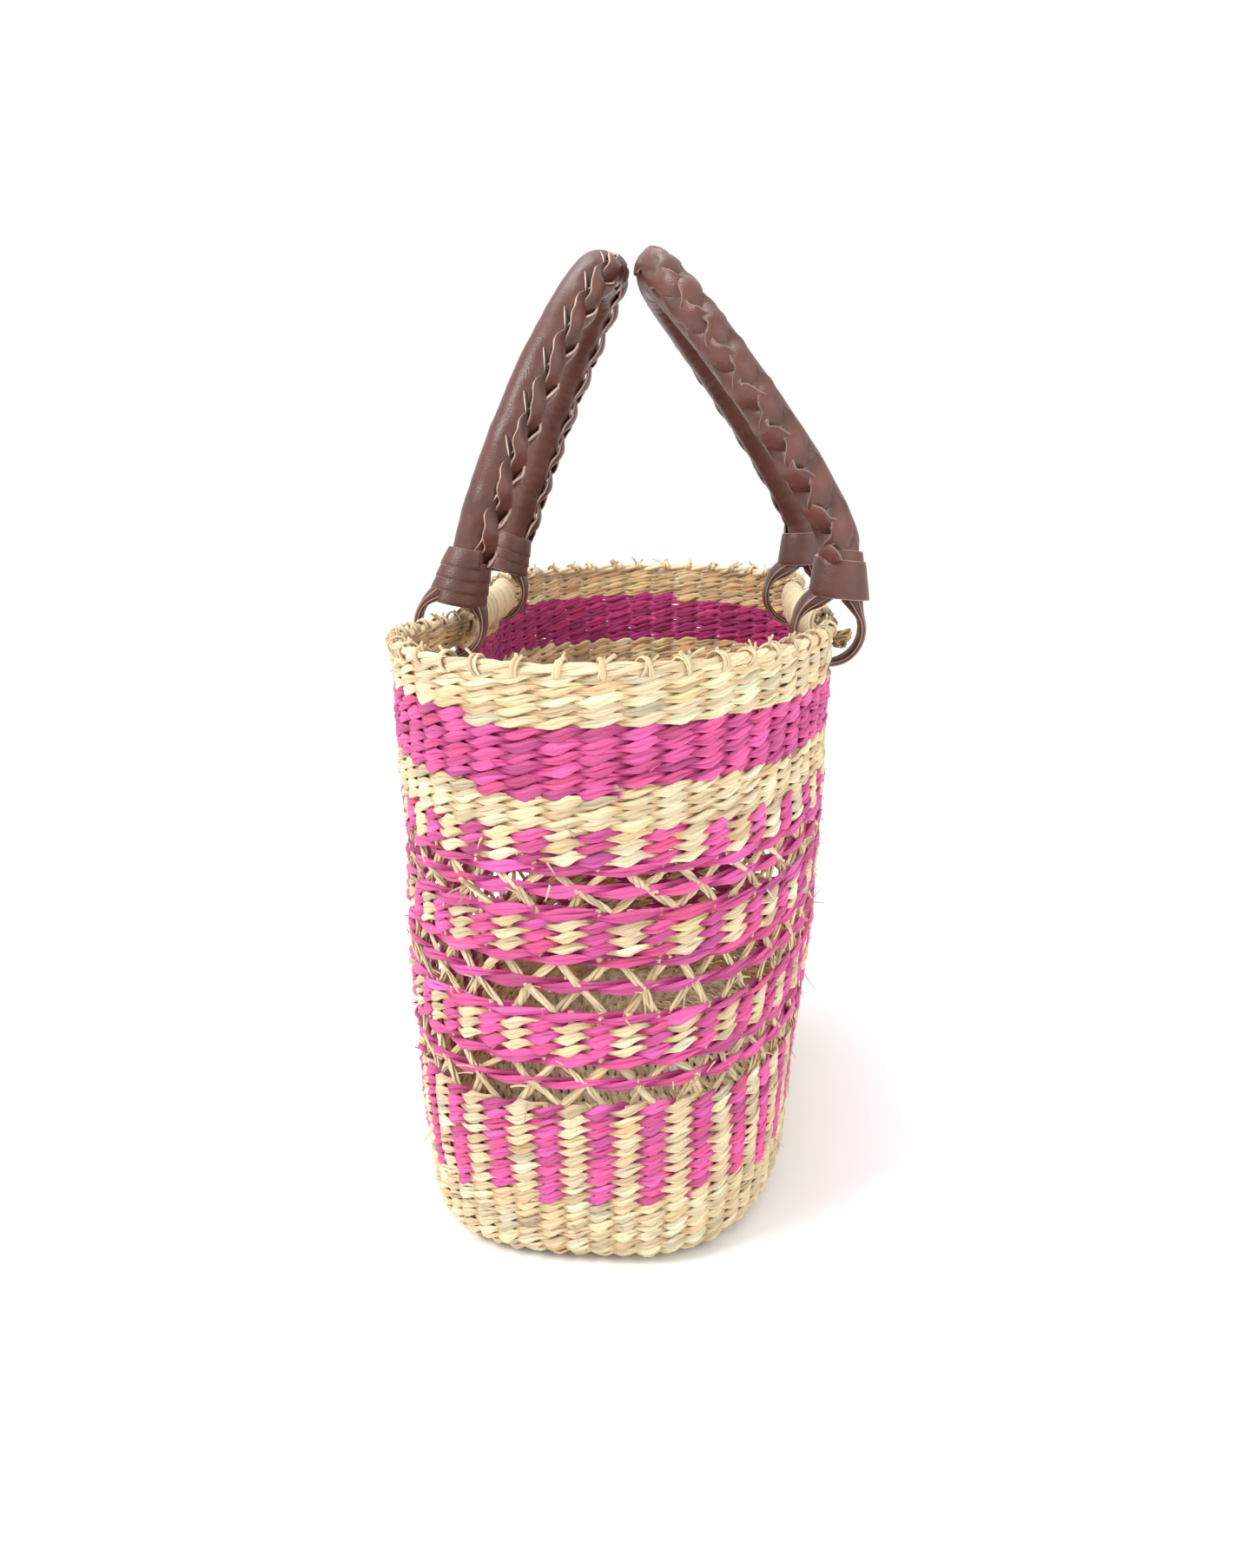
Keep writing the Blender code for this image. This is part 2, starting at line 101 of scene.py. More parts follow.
# Handles, the same as the CAD's
PIVOT_X = 72 * MM
PIVOT_Z = 260 * MM
FOOT_LEVEL = 258 * MM  # where the wall sets the feet's places
LEAN = {FRONT: math.radians(17), BACK: 0.0}
FOOT_SHIFT = {FRONT: 0.0, BACK: -4 * MM}
ARCH_HEIGHT = {FRONT: 171 * MM, BACK: 155.5 * MM}
BEND = {FRONT: 14.5 * MM, BACK: 80 * MM}
BEND_START = 38 * MM
BEND_POWER = {FRONT: 2.0, BACK: 1.2}
TUBE_START = 16 * MM
COVER_RADIUS = 9.2 * MM
FOOT_RADIUS = 8.2 * MM
STRAP_RADIUS = 15 * MM
STRAP_LEG = 5 * MM
STRAP_HALF_WIDTH = 7.6 * MM
STRAP_HALF_THICK = 1.8 * MM
STRAP_FOLDED_EXTRA = 3.1 * MM
SEAM_TURN = {FRONT: math.radians(22), BACK: math.radians(74)}
PLAIT_PERIOD = 60 * MM
COLLAR_WRAPS = {FRONT: (3.2, 9.0, 5.6, 0.22), BACK: (1.45, 17.0, 4.5, 0.14)}  # turns, width, pitch, flare

# Linear colours
STRAW = np.array([0.95, 0.745, 0.47])
# Inner-side straw colour, darker and warmer than STRAW: painted shade of the basket's inside
STRAW_INSIDE_SHADE = np.array([0.88, 0.60, 0.33])
STAKE = np.array([0.79, 0.595, 0.35])
PINK = np.array([0.84, 0.125, 0.38])
# Inner-side pink colour, darker than PINK: painted shade of the basket's inside
PINK_INSIDE_SHADE = np.array([0.50, 0.04, 0.19])
LEATHER = np.array([0.098, 0.034, 0.024])
CUT_EDGE = np.array([0.48, 0.33, 0.27])

# Camera
CAMERA_PLACE = (0.7218, 0.0851, 0.3437)
CAMERA_PITCH = 0.2353
CAMERA_YAW = 0.1165
CAMERA_LENS = 33.4056
SENSOR_HEIGHT = 36.0


# ---------------------------------------------------------------- outline


def plan_shape(z):
    """Half length, half width and squareness of the wall at a height."""
    k = z / WALL_HEIGHT
    half_x = BASE_HALF[0] + (RIM_HALF[0] - BASE_HALF[0]) * k
    half_y = BASE_HALF[1] + (RIM_HALF[1] - BASE_HALF[1]) * (k + BELLY * k * (1 - k))
    low, middle, top = SQUARENESS
    power = low * (1 - k) * (1 - 2 * k) + middle * 4 * k * (1 - k) + top * k * (2 * k - 1)
    return half_x, half_y, power


def unit_edge(bearing, power):
    """The edge of a superellipse of half sizes 1."""
    x, y = np.cos(bearing), np.sin(bearing)
    reach = (np.abs(x) ** power + np.abs(y) ** power) ** (-1 / power)
    return x * reach, y * reach


def bearing_table():
    """Shares of the perimeter and the bearings they are at."""
    half_x, half_y, power = plan_shape(WALL_HEIGHT / 2)
    bearings = np.linspace(0, 2 * math.pi, 1441)
    x, y = unit_edge(bearings, power)
    steps = np.hypot(np.diff(x) * half_x, np.diff(y) * half_y)
    passed = np.concatenate(([0.0], np.cumsum(steps)))
    return passed / passed[-1], bearings


SHARES, BEARINGS = bearing_table()


def outline(turn, z, inset):
    """Points of the wall by share of the perimeter from +X, height and inset (arrays of one shape)."""
    turn, z, inset = np.broadcast_arrays(turn, z, inset)
    half_x, half_y, power = plan_shape(z)
    x, y = unit_edge(np.interp(turn % 1, SHARES, BEARINGS), power)
    x = x * (half_x - inset)
    y = y * (half_y - inset)
    side = np.where(y < 0, FRONT, BACK)
    depth = np.where(y < 0, PINCH_DEPTH[FRONT], PINCH_DEPTH[BACK])
    reach = np.where(y < 0, PINCH_REACH[FRONT], PINCH_REACH[BACK])
    middle = np.where(y < 0, PINCH_CENTRE[FRONT], PINCH_CENTRE[BACK])
    pinch = depth * (np.maximum(z, 0) / WALL_HEIGHT) ** 3 * np.exp(-(np.abs((x - middle) / reach) ** 3))
    y = y - side * pinch * np.minimum(1.0, np.abs(y) / (0.6 * half_y))
    return np.stack([x, y, z + 0 * x], axis=-1)


def wall_frame(turn, z, inset, lie):
    """Point, outward normal and upward direction; lie is 0 on the floor and 90 degrees on the wall."""
    here = outline(turn, z, inset)
    bulge = 0.9 * np.sin(2 * math.pi * 2 * turn + 38 * z) + 0.6 * np.sin(2 * math.pi * 5 * turn + 1 - 61 * z)
    bulge = bulge * MM * np.clip(z / (60 * MM), 0, 1) * np.clip((236 * MM - z) / (40 * MM), 0, 1)
    ahead = outline(turn + 1e-4, z, inset) - outline(turn - 1e-4, z, inset)
    out = np.stack([ahead[..., 1], -ahead[..., 0], 0 * ahead[..., 0]], axis=-1)
    out /= np.linalg.norm(out, axis=-1, keepdims=True)
    normal = out * math.sin(lie) - UP * math.cos(lie)
    rise = out * math.cos(lie) + UP * math.sin(lie)
    if lie > WALL_LIE:
        here = here + normal * bulge[..., None]
    return here, normal, rise


def turn_at_x(side, x, z):
    """The signed share of the perimeter at which one side of the wall passes x."""
    low, high = 0.0, 0.5
    for _ in range(30):
        middle = (low + high) / 2
        if outline(side * middle, z, MIDDLE)[0] > x:
            low = middle
        else:
            high = middle
    return side * (low + high) / 2


# ---------------------------------------------------------------- meshes


def tube_faces(count, rings, sides, closed):
    """Quads that skin count strands of rings sections each, with laddered end caps when open."""
    ring = np.arange(rings if closed else rings - 1)
    side = np.arange(sides)
    base = (np.arange(count) * rings * sides)[:, None, None]
    here = base + ring[None, :, None] * sides
    there = base + ((ring + 1) % rings)[None, :, None] * sides
    a = here + side
    following = (side + 1) % sides
    b = here + following
    c = there + following
    d = there + side
    faces = [np.stack([a, b, c, d], axis=-1).reshape(-1, 4)]
    if not closed:
        for rung in range(sides // 2 - 1):
            cap = np.array([rung, sides - 1 - rung, sides - 2 - rung, rung + 1])
            start = np.arange(count)[:, None] * rings * sides + cap
            faces += [start, (start + (rings - 1) * sides)[:, ::-1]]
    return np.concatenate(faces)


class Weave:
    """Collects strands of one piece and turns them into one mesh object."""

    def __init__(self):
        self.points, self.faces, self.tints, self.strands = [], [], [], []
        self.count = 0

    def add(self, sections, tints, along, closed):
        """sections (strands, rings, sides, 3); tints (strands, rings, 3); along (strands, rings)."""
        strands, rings, sides = sections.shape[:3]
        self.faces.append(tube_faces(strands, rings, sides, closed) + self.count)
        self.points.append(sections.reshape(-1, 3))
        if tints.ndim == 3:
            tints = np.repeat(tints[:, :, None], sides, axis=2)
        self.tints.append(tints.reshape(-1, 3))
        across = np.cos(2 * math.pi * np.arange(sides) / sides) * 2.5 * MM
        seeds = rng.random((strands, 1, 1)) * 40
        strand = np.empty((strands, rings, sides, 3))
        strand[..., 0] = along[..., None]
        strand[..., 1] = across
        strand[..., 2] = seeds
        self.strands.append(strand.reshape(-1, 3))
        self.count += strands * rings * sides

    def build(self, name, material, body, *nodes):
        points = np.concatenate(self.points).astype(np.float32)
        faces = np.concatenate(self.faces).astype(np.int32)
        corners = points[faces[:, :3]]
        if np.einsum("ij,ij->", corners[:, 0], np.cross(corners[:, 1], corners[:, 2])) < 0:
            faces = faces[:, ::-1]
        faces = np.ascontiguousarray(faces)
        mesh = bpy.data.meshes.new(name)
        mesh.vertices.add(len(points))
        mesh.vertices.foreach_set("co", points.ravel())
        mesh.loops.add(faces.size)
        mesh.loops.foreach_set("vertex_index", faces.ravel())
        mesh.polygons.add(len(faces))
        mesh.polygons.foreach_set("loop_start", np.arange(0, faces.size, 4, dtype=np.int32))
        mesh.update(calc_edges=True)
        mesh.shade_smooth()
        tint = mesh.attributes.new("tint", "FLOAT_COLOR", "POINT")
        colours = np.ones((len(points), 4), np.float32)
        colours[:, :3] = np.concatenate(self.tints)
        tint.data.foreach_set("color", colours.ravel())
        strand = mesh.attributes.new("strand", "FLOAT_VECTOR", "POINT")
        strand.data.foreach_set("vector", np.concatenate(self.strands).astype(np.float32).ravel())
        mesh.materials.append(material)
        piece = bpy.data.objects.new(name, mesh)
        bpy.context.scene.collection.objects.link(piece)
        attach(piece, body)
        if nodes:
            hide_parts(*nodes)


def smooth_noise(count, steps, size):
    """Random values at count knots, eased between them, for rings of count * steps sections."""
    knots = rng.normal(0, size, count)
    t = np.arange(steps) / steps
    ease = t * t * (3 - 2 * t)
    following = np.roll(knots, -1)
    return (knots[:, None] * (1 - ease) + following[:, None] * ease).ravel()


# ---------------------------------------------------------------- twined rows


def drift(turn, z):
    """The slow rise and fall of the rows round the wall."""
    wave = 0.7 * np.sin(2 * math.pi * 3 * turn + 21 * z)
    wave = wave + 0.45 * np.sin(2 * math.pi * 7 * turn + 1.3 - 33 * z)
    settle = np.clip(z / (40 * MM), 0, 1) * np.clip((258 * MM - z) / (20 * MM), 0, 1)
    return wave * MM * settle


def strap_window(x):
    """1 where a handle's strap goes through the wall, 0 away from it."""
    away = (np.abs(np.abs(x) - PIVOT_X) - SLOT_HALF) / SLOT_EASE
    ease = np.clip(1 - away, 0, 1)
    return ease * ease * (3 - 2 * ease)


def slot_push(z):
    """How far a row moves up or down where it passes a slot."""
    if z > SLOT_MIDDLE:
        return SLOT_LIFT * (261 * MM - z) / (17 * MM)
    return -SLOT_DROP * (z - 233 * MM) / (9 * MM)


def stitch_tones(stitch, spread=0.10):
    """A tone for each stitch, and a slower one for each length of grass."""
    tone = 1 + rng.normal(0, spread, stitch.max() + 2)[stitch]
    length = int(rng.integers(5, 11))
    return tone * (1 + rng.normal(0, 0.09, stitch.max() // length + 2)[stitch // length])


def add_row(weave, z, inset, lie, dyes, stitches, size=1.0):
    """Two strands twined half a turn per stake, as one closed row; each is two folded ribbons.

    dyes says for each strand whether it is pink: True, False or a rule of the signed turn.
    """
    rings = stitches * STITCH_STEPS
    turn = 0.5 + np.arange(rings) / rings
    height = np.full(rings, z)
    squeeze = np.zeros(rings)
    if lie > WALL_LIE:
        height = height + drift(turn, z)
        if z > SLOT_REGION:
            squeeze = strap_window(outline(turn, z, inset)[:, 0])
            height = height + squeeze * slot_push(z)
    here, normal, rise = wall_frame(turn, height, inset, lie)
    along = np.arange(rings) / rings * np.linalg.norm(np.diff(here, axis=0), axis=1).sum()
    wander = smooth_noise(stitches, STITCH_STEPS, 0.2 * MM)
    angle = 2 * math.pi * np.arange(PLY_SIDES) / PLY_SIDES
    sections = np.empty((4, rings, PLY_SIDES, 3))
    tints = np.empty((4, rings, 3))
    for strand in range(2):
        phase = math.pi * (stitches * turn + strand) + smooth_noise(stitches, STITCH_STEPS, 0.14)
        swing = np.cos(phase)
        width = STRAND_HALF_HEIGHT * size * (0.46 + 0.54 * swing**2) * (1 - 0.3 * squeeze)
        width = width * (1 + smooth_noise(stitches, STITCH_STEPS, 0.12))
        thick = STRAND_HALF_THICK * size * (1 + smooth_noise(stitches, STITCH_STEPS, 0.12))
        centre = here + normal * (ROW_DEPTH * np.clip(1.15 * swing, -1, 1))[:, None]
        lift = ROW_SWING * size * (1 - 0.3 * squeeze) * np.sin(phase)
        lift = lift + wander + smooth_noise(stitches, STITCH_STEPS, 0.15 * MM)
        centre = centre + rise * lift[:, None]
        stitch = np.round(phase / math.pi).astype(int)
        place = (stitch - strand) / stitches
        place = (place + 0.5) % 1 - 0.5
        stitch -= stitch.min()
        dye = dyes[strand](place) if callable(dyes[strand]) else np.full(rings, dyes[strand])
        # Outer colour where a strand swings out, inner colour where it swings in: painted shade of the
        # basket's inside and where strands dive behind their neighbours
        front = np.clip(0.5 + 1.3 * swing, 0, 1)[:, None]
        outer = np.where(dye[:, None], PINK, STRAW)
        # Rows lying on the base keep plain straw inside, without the painted shade
        inner = np.where(dye[:, None], PINK_INSIDE_SHADE, STRAW_INSIDE_SHADE if lie > 0.05 else STRAW)
        colour = (outer * front + inner * (1 - front)) * stitch_tones(stitch)[:, None]
        warm = rng.normal(0, 0.06, stitch.max() + 2)[stitch][:, None]
        colour = colour * (1 + warm * WARMTH)
        turning = smooth_noise(stitches, STITCH_STEPS, 0.45)
        for ply in range(2):
            fold = turning + math.pi * ply
            off = centre + rise * (0.46 * width * np.cos(fold))[:, None]
            off = off + normal * (0.75 * thick * np.sin(fold))[:, None]
            roll = 0.35 * np.sin(phase) + smooth_noise(stitches, STITCH_STEPS, 0.22)
            half = width * 0.64 * (1 + smooth_noise(stitches, STITCH_STEPS, 0.1))
            v = np.cos(angle)[None] * half[:, None]
            n = np.sin(angle)[None] * (0.85 * thick)[:, None]
            v, n = (
                v * np.cos(roll)[:, None] - n * np.sin(roll)[:, None],
                v * np.sin(roll)[:, None] + n * np.cos(roll)[:, None],
            )
            which = 2 * strand + ply
            sections[which] = off[:, None] + rise[:, None] * v[..., None] + normal[:, None] * n[..., None]
            tints[which] = np.clip(colour * stitch_tones(stitch, 0.06)[:, None], 0.01, 1)
    weave.add(sections, tints, along + 0.31 * np.arange(4)[:, None], closed=True)


def rows_between(low, high, count):
    """Heights of evenly spaced rows in a band given in millimetres."""
    return [(low + (high - low) * (i + 0.5) / count) * MM for i in range(count)]


def add_fibre(weave, points, normals, width, thick, tint, sides=6):
    """One open strand along points, flat across its normals; width and thick are halves."""
    points, normals = np.asarray(points), np.asarray(normals)
    tangents = np.gradient(points, axis=0)
    tangents /= np.linalg.norm(tangents, axis=1, keepdims=True) + 1e-12
    across = np.cross(normals, tangents)
    across /= np.linalg.norm(across, axis=1, keepdims=True) + 1e-12
    normals = np.cross(tangents, across)
    angle = 2 * math.pi * np.arange(sides) / sides
    width = np.broadcast_to(width, len(points))[:, None] * np.cos(angle)
    thick = np.broadcast_to(thick, len(points))[:, None] * np.sin(angle)
    sections = points[:, None] + across[:, None] * width[..., None] + normals[:, None] * thick[..., None]
    along = np.concatenate(([0.0], np.cumsum(np.linalg.norm(np.diff(points, axis=0), axis=1))))
    tints = np.broadcast_to(np.clip(tint, 0.01, 1), (len(points), 3))
    weave.add(sections[None], tints[None].copy(), along[None], closed=False)


def natural_tint(base=STAKE, spread=0.14):
    """One fibre's colour, a little lighter or darker and warmer or cooler than base."""
    return base * (1 + rng.normal(0, spread)) * (1 + rng.normal(0, 0.05) * WARMTH)


def bundle(weave, start, end, count, radius, base):
    """A few fibres side by side between two (turn, z, depth) places on the wall, loosely twisted."""
    t = np.linspace(0, 1, 8)
    first, last = np.array(start), np.array(end)
    path = first + (last - first) * t[:, None]
    bow = rng.normal(0, 0.5 * MM)
    twist = rng.uniform(0.6, 1.6) * rng.choice((-1, 1))
    spread = radius * 0.85
    for k in range(count):
        turn_round = 2 * math.pi * k / count + twist * t * math.pi + rng.normal(0, 0.3)
        here, normal, rise = wall_frame(path[:, 0], path[:, 1], MIDDLE, UPRIGHT)
        side = np.cross(normal, rise)
        depth = path[:, 2] + bow * np.sin(math.pi * t) + 0.6 * spread * np.sin(turn_round)
        place = here + normal * depth[:, None]
        place = place + side * (spread * np.cos(turn_round))[:, None]
        slim = radius * rng.uniform(0.5, 0.72)
        add_fibre(weave, place, normal, slim, slim * 0.62, natural_tint(base))


def add_lattice(weave, low, middle, high):
    """Stakes that cross in pairs above and below an openwork's middle row."""
    pitch = 1 / STAKES
    low, middle, high = low * MM, middle * MM, high * MM
    for pair in range(STAKES // 2):
        waist = (2 * pair + 0.5) * pitch
        sway = rng.normal(0, 0.12) * pitch
        cross = middle - 2.2 * MM + rng.normal(0, 0.8) * MM
        level = drift(np.array(waist), middle)
        for hand in (-1, 1):
            depth = hand * 1.0 * MM
            top = waist - hand * pitch * rng.uniform(0.7, 1.15)
            foot = waist + hand * pitch * rng.uniform(0.4, 1.1)
            count = int(rng.integers(3, 5))
            size = rng.uniform(1.2, 1.6) * MM
            base = STAKE * 1.1 if hand < 0 else STRAW * 0.92
            knee = waist + sway - hand * 0.1 * pitch
            neck = cross + level + rng.normal(0, 0.5) * MM
            above, below = high + 1.5 * MM, low - 1.5 * MM
            bundle(weave, (top, above, -1.2 * MM), (knee, neck + 1.5 * MM, depth), count, size, base)
            bundle(weave, (knee, neck + 2.5 * MM, depth), (foot, below, -1.2 * MM), count, size, base)
            for _ in range(int(rng.integers(0, 3))):
                add_stray(weave, knee, neck, depth + 1.2 * MM, STAKE * 1.1)


def add_stray(weave, turn, z, depth, base):
    """A loose end that sticks out of the weave."""
    here, normal, rise = wall_frame(np.array([turn]), np.array([z]), MIDDLE, UPRIGHT)
    here, normal, rise = here[0], normal[0], rise[0]
    if abs(abs(here[0]) - PIVOT_X) < STRAY_CLEAR and here[2] > SLOT_REGION - 10 * MM:
        return
    side = np.cross(rise, normal)
    way = side * rng.normal(0, 1) + rise * rng.normal(0, 0.7) + normal * rng.uniform(0.15, 0.6)
    way /= np.linalg.norm(way)
    curl = normal * rng.uniform(-0.6, 0.6) - rise * rng.uniform(0, 0.5)
    length = rng.uniform(3, 8) * MM
    t = np.linspace(0, 1, 6)[:, None]
    points = here + normal * depth + (way * t + curl * t**2 * 0.5) * length
    width = 0.55 * MM * (1 - 0.6 * t[:, 0])
    add_fibre(weave, points, np.tile(normal, (6, 1)), width, width * 0.5, natural_tint(base, 0.2), sides=4)


def add_stakes(weave, low, high, count=STAKES):
    """The uprights that the rows are twined round."""
    levels = np.linspace(low * MM, high * MM, 5)
    for stake in range(count):
        turn = np.full(5, stake / count)
        here, normal, _ = wall_frame(turn, levels + drift(turn, levels), MIDDLE, UPRIGHT)
        add_fibre(weave, here, normal, 1.5 * MM, 0.6 * MM, natural_tint(), sides=4)


def strays(weave, low, high, count, base):
    """Loose ends scattered over a band given in millimetres."""
    for _ in range(count):
        add_stray(weave, rng.random(), rng.uniform(low, high) * MM, 2.4 * MM, base)


def make_base(grass):
    """Rows that run round the base, in towards a spine."""
    outer, centre = Weave(), Weave()
    for i in range(BASE_ROWS):
        inset = FOOT_ROUND + 0.4 * MM + BASE_PITCH * (i + 0.5)
        stitches = max(30, int(STAKES * (1 - i / 26)) // 2 * 2)
        part = outer if i < BASE_OUTER_ROWS else centre
        add_row(part, BASE_HEIGHT, inset, 0.0, NATURAL, stitches, 1.02)
    spine = np.stack([np.linspace(-0.09, 0.09, 40), np.zeros(40), np.full(40, BASE_HEIGHT)], axis=1)
    # The spine takes the inner colour: painted shade of the basket's inside
    add_fibre(centre, spine, np.tile(-UP, (40, 1)), 2 * MM, 1.5 * MM, STRAW_INSIDE_SHADE)
    outer.build("woven_base_outer_rows", grass, "basket", "base_mat")
    centre.build("woven_base_centre_rows", grass, "basket", "base_mat")


def make_foot(grass):
    """Plain rows that turn up from the base."""
    foot = Weave()
    bend = FOOT_ROUND - MIDDLE
    for lie in (0.10, 0.58, 1.06, 1.48):
        inset = FOOT_ROUND - bend * math.sin(lie)
        add_row(foot, FOOT_ROUND - bend * math.cos(lie), inset, lie, NATURAL, STAKES, 1.04)
    for z in rows_between(13.8, 31, 4):
        add_row(foot, z, MIDDLE, UPRIGHT, NATURAL, STAKES, 1.02)
    add_stakes(foot, 12, 31)
    strays(foot, 8, 31, 14, STRAW)
    foot.build("woven_foot", grass, "basket", "foot_band")


def make_lower_check(grass):
    """Upright pink columns with ragged lower ends, in two pieces."""
    starts = 33.5 * MM + rng.integers(-1, 2, STAKES) * 2.1 * MM

    def column_dye(z):
        """Pink columns begin a row or so apart, lower towards the back of the near end."""

        def rule(place):
            column = np.round(place * STAKES).astype(int) % STAKES
            return z > starts[column] - 3 * MM * np.sin(2 * math.pi * np.clip(place, -0.25, 0.25))

        return rule

    for part, (low, high, count) in (("lower", (31, 54.3, 5)), ("upper", (54.3, 77.8, 5))):
        lower = Weave()
        for z in rows_between(low, high, count):
            add_row(lower, z, MIDDLE, UPRIGHT, (False, column_dye(z)), STAKES, 1.04)
        add_stakes(lower, low, high)
        strays(lower, low, high, 10, STRAW)
        lower.build(f"woven_lower_check_{part}", grass, "basket", "lower_check_band")


def make_band(grass, name, low, high, plan, stray_base=STRAW, stray_count=12, stakes=STAKES):
    """A band of rows; plan gives each row's dyes, stitches and size, from the bottom up."""
    weave = Weave()
    for z, (dyes, stitches, size) in zip(rows_between(low, high, len(plan)), plan):
        add_row(weave, z, MIDDLE, UPRIGHT, dyes, stitches, size)
    add_stakes(weave, low, high, stakes)
    strays(weave, low, high, stray_count, stray_base)
    weave.build("woven_" + name, grass, "basket", name)


def make_openwork(grass, name, low, middle, high):
    """Crossing stakes with one pink row through them."""
    weave = Weave()
    add_row(weave, middle * MM, MIDDLE, UPRIGHT, DYED, STAKES // 2, 0.92)
    add_lattice(weave, low, middle, high)
    strays(weave, low, high, 16, STRAW)
    weave.build("woven_" + name, grass, "basket", name)


def pink_between(low, high):
    """Dyes of a row that is pink only between two signed turns."""

    def rule(place):
        return (place > low) & (place < high)

    return rule, rule


def make_body(grass):
    make_base(grass)
    make_foot(grass)
    make_lower_check(grass)
    edge = (DYED, STAKES // 2, 0.98)
    check = ((False, True), STAKES, 1.04)
    make_band(grass, "low_check_band", 96.8, 121.2, [edge, check, check, check, edge])
    make_band(grass, "high_check_band", 141.8, 166.4, [edge, check, check, check, edge])
    for openwork in OPENWORKS:
        make_openwork(grass, *openwork)
    make_band(grass, "upper_check_band", 181, 200, [edge, check, check, check])
    natural = (NATURAL, NATURAL_STAKES, 1.0)
    first_pink = (pink_between(-0.03, 0.022), NATURAL_STAKES, 1.0)
    make_band(grass, "upper_natural_band", 200, 217, [natural] * 3 + [first_pink], stakes=NATURAL_STAKES)
    pink = (DYED, PINK_STAKES, 1.06)
    make_band(grass, "pink_band", 217, 240, [pink] * 5, PINK, 14, stakes=PINK_STAKES)
    last_pink = (pink_between(-0.6, -0.045), RIM_STAKES, 1.0)
    plain = (NATURAL, RIM_STAKES, 1.0)
    make_band(grass, "rim_band", 240.4, 260.6, [last_pink] + [plain] * 4, stakes=0)


# ---------------------------------------------------------------- rim


def rim_frame(turn):
    """The wall's frame at the height of the rim rod."""
    turn = np.asarray(turn, dtype=float)
    return wall_frame(turn, np.full(turn.shape, ROD_HEIGHT), MIDDLE, UPRIGHT)


def add_knot(weave, turn):
    """Fibres of a stake looped over the rim rod, with cut ends standing up."""
    t = np.linspace(-0.65, 1.0, 10)
    for _ in range(3):
        lean = rng.normal(0, 0.0022)
        start = turn + rng.normal(0, 0.0009)
        bow = rng.uniform(3.3, 4.3) * MM
        turns = start + lean * t
        here, normal, rise = rim_frame(turns)
        angle = math.pi * t
        radial = normal * np.cos(angle)[:, None] + rise * np.sin(angle)[:, None]
        flat = np.where(np.sin(angle) < 0, 0.9, 1.0)[:, None]
        width = rng.uniform(0.7, 1.05) * MM
        add_fibre(weave, here + radial * bow * flat, radial, width, width * 0.55, natural_tint(STRAW * 0.95))
    for _ in range(int(rng.integers(1, 4))):
        place, normal, rise = (v[0] for v in rim_frame([turn + rng.normal(0, 0.0012)]))
        side = np.cross(rise, normal)
        way = rise + side * rng.normal(0, 0.6) + normal * rng.normal(0, 0.45)
        way /= np.linalg.norm(way)
        t5 = np.linspace(0, 1, 5)[:, None]
        bend = side * rng.normal(0, 0.5)
        root = place + rise * 2.2 * MM + normal * rng.normal(0, 1.2) * MM
        points = root + (way * t5 + bend * t5**2) * rng.uniform(2.5, 4.8) * MM
        width = rng.uniform(0.5, 0.85) * MM
        add_fibre(weave, points, np.tile(normal, (5, 1)), width, width * 0.6, natural_tint(STRAW))


def make_rim(grass):
    """Three strands twisted into the rim rod, and the knots that tie it down."""
    rim = Weave()
    knots, steps = 72, 10
    rings = knots * steps
    turn = np.arange(rings) / rings
    here, normal, rise = rim_frame(turn)
    angle = 2 * math.pi * np.arange(8) / 8
    for k in range(3):
        twist = 2 * math.pi * (k / 3 + 26 * turn) + smooth_noise(knots, steps, 0.3)
        size = 1.75 * MM * (1 + smooth_noise(knots, steps, 0.12))
        lift = 1.1 * MM * np.sin(twist) + smooth_noise(knots, steps, 0.2 * MM)
        centre = here + normal * (1.5 * MM * np.cos(twist))[:, None] + rise * lift[:, None]
        section = centre[:, None] + normal[:, None] * (size[:, None] * np.cos(angle))[..., None]
        section = section + rise[:, None] * (size[:, None] * 0.8 * np.sin(angle))[..., None]
        tones = STRAW * (1 + smooth_noise(knots, steps, 0.10))[:, None]
        rim.add(section[None], np.clip(tones, 0.01, 1)[None], (turn * 1.02)[None], closed=True)
    for stake in range(RIM_STAKES):
        turn_here = stake / RIM_STAKES
        x, y, _ = rim_frame([turn_here])[0][0]
        if abs(x) > 58 * MM or abs(y) < 30 * MM:
            add_knot(rim, turn_here)
    rim.build("rim_border_rod", grass, "basket", "rim_border")


